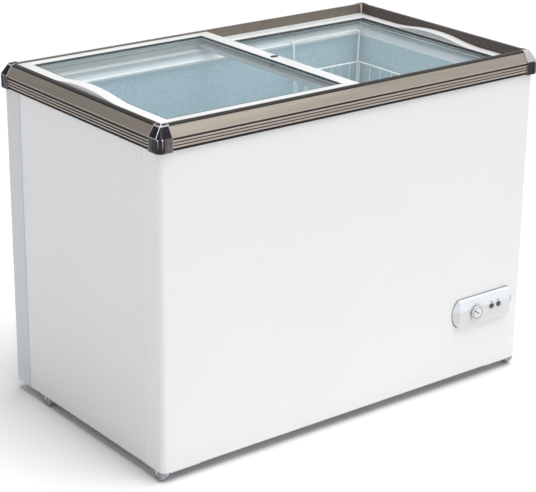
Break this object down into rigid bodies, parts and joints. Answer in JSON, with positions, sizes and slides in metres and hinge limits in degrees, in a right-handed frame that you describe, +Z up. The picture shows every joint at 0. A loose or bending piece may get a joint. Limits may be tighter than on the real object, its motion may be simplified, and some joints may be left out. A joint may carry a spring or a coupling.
{
  "type": "chest freezer",
  "caption": "Shop chest freezer with flat sliding glass lids in a ribbed rim, a hanging wire basket, a front thermostat panel and low rollers.",
  "frame": {"origin": "on the floor under the middle of the cabinet", "axes": "+X along the length towards the compressor end, -Y is the front with the control panel, +Z up"},
  "size_m": [1.154, 0.695, 0.8694],
  "materials": {
    "skin": "gloss",
    "galvanised": "satin",
    "black_plastic": "satin",
    "foam": "matte",
    "liner": "satin",
    "copper": "satin",
    "collar": "satin",
    "rim": "satin",
    "corner_cap": "gloss",
    "white_plastic": "satin",
    "lid_frame": "satin",
    "lid_glass": "polished",
    "slider": "matte",
    "lock_metal": "polished",
    "coated_wire": "satin",
    "compressor_paint": "gloss",
    "rubber": "matte",
    "roller": "satin",
    "zinc": "satin",
    "panel_plastic": "gloss",
    "lamp_red": "gloss",
    "lamp_green": "gloss",
    "grey_plastic": "satin"
  },
  "bodies": {
    "cabinet": {"front_panel": "skin", "rear_panel": "skin", "left_side_panel": "skin", "right_side_panel": "skin", "base_panel": "galvanised", "bay_cover": "galvanised", "cord_gland": "black_plastic", "insulation_foam": "foam", "tank_liner": "liner", "evaporator_coil": "copper", "condenser_coil": "copper", "front_track": "collar", "rear_track": "collar", "left_end_collar": "collar", "right_end_collar": "collar", "rim_front": "rim", "rim_rear": "rim", "rim_left": "rim", "rim_right": "rim", "corner_cap_front_left": "corner_cap", "corner_cap_front_right": "corner_cap", "corner_cap_rear_left": "corner_cap", "corner_cap_rear_right": "corner_cap", "rim_corner_keys": "white_plastic", "compressor": "compressor_paint", "compressor_feet": "rubber", "relay_cover": "black_plastic", "filter_dryer": "copper", "refrigerant_pipes": "copper", "roller_brackets": "zinc", "roller_axles": "zinc", "bracket_bolts": "zinc", "control_housing": "panel_plastic", "thermostat_body": "black_plastic", "alarm_lamp": "lamp_red", "power_lamp": "lamp_green", "side_grille": "grey_plastic"},
    "upper_lid": {"upper_lid_handle_end": "lid_frame", "upper_lid_meeting_end": "lid_frame", "upper_lid_front_rail": "lid_frame", "upper_lid_rear_rail": "lid_frame", "upper_lid_glass": "lid_glass", "upper_lid_sliders": "slider", "lock_surround": "black_plastic"},
    "lower_lid": {"lower_lid_handle_end": "lid_frame", "lower_lid_meeting_end": "lid_frame", "lower_lid_front_rail": "lid_frame", "lower_lid_rear_rail": "lid_frame", "lower_lid_glass": "lid_glass", "lower_lid_sliders": "slider"},
    "lid_lock": {"lock_barrel": "lock_metal"},
    "basket": {"basket_hangers": "coated_wire", "basket_side_walls": "coated_wire", "basket_end_walls": "coated_wire", "basket_floor": "coated_wire"},
    "thermostat_knob": {"thermostat_knob": "panel_plastic"},
    "roller_front_left": {"roller_wheel_front_left": "roller"},
    "roller_front_right": {"roller_wheel_front_right": "roller"},
    "roller_rear_left": {"roller_wheel_rear_left": "roller"},
    "roller_rear_right": {"roller_wheel_rear_right": "roller"}
  },
  "joints": [
    {"name": "upper_lid_slide", "type": "slide", "parent": "cabinet", "child": "upper_lid", "axis": [1, 0, 0], "range_m": [0, 0.49]},
    {"name": "lower_lid_slide", "type": "slide", "parent": "cabinet", "child": "lower_lid", "axis": [1, 0, 0], "range_m": [-0.49, 0]},
    {"name": "lid_lock_turn", "type": "hinge", "parent": "upper_lid", "child": "lid_lock", "pos_m": [0.006, 0.006, 0.85], "axis": [0, 0, 1], "range_deg": [0, 90]},
    {"name": "basket_slide", "type": "slide", "parent": "cabinet", "child": "basket", "axis": [1, 0, 0], "range_m": [-0.74, 0]},
    {"name": "thermostat_turn", "type": "hinge", "parent": "cabinet", "child": "thermostat_knob", "pos_m": [0.398, -0.352, 0.198], "axis": [0, 1, 0], "range_deg": [-90, 180]},
    {"name": "roller_front_left_spin", "type": "hinge", "parent": "cabinet", "child": "roller_front_left", "pos_m": [-0.5584, -0.303, 0.021], "axis": [1, 0, 0], "continuous": true},
    {"name": "roller_front_right_spin", "type": "hinge", "parent": "cabinet", "child": "roller_front_right", "pos_m": [0.5584, -0.303, 0.021], "axis": [1, 0, 0], "continuous": true},
    {"name": "roller_rear_left_spin", "type": "hinge", "parent": "cabinet", "child": "roller_rear_left", "pos_m": [-0.5584, 0.192, 0.021], "axis": [1, 0, 0], "continuous": true},
    {"name": "roller_rear_right_spin", "type": "hinge", "parent": "cabinet", "child": "roller_rear_right", "pos_m": [0.5584, 0.192, 0.021], "axis": [1, 0, 0], "continuous": true}
  ]
}
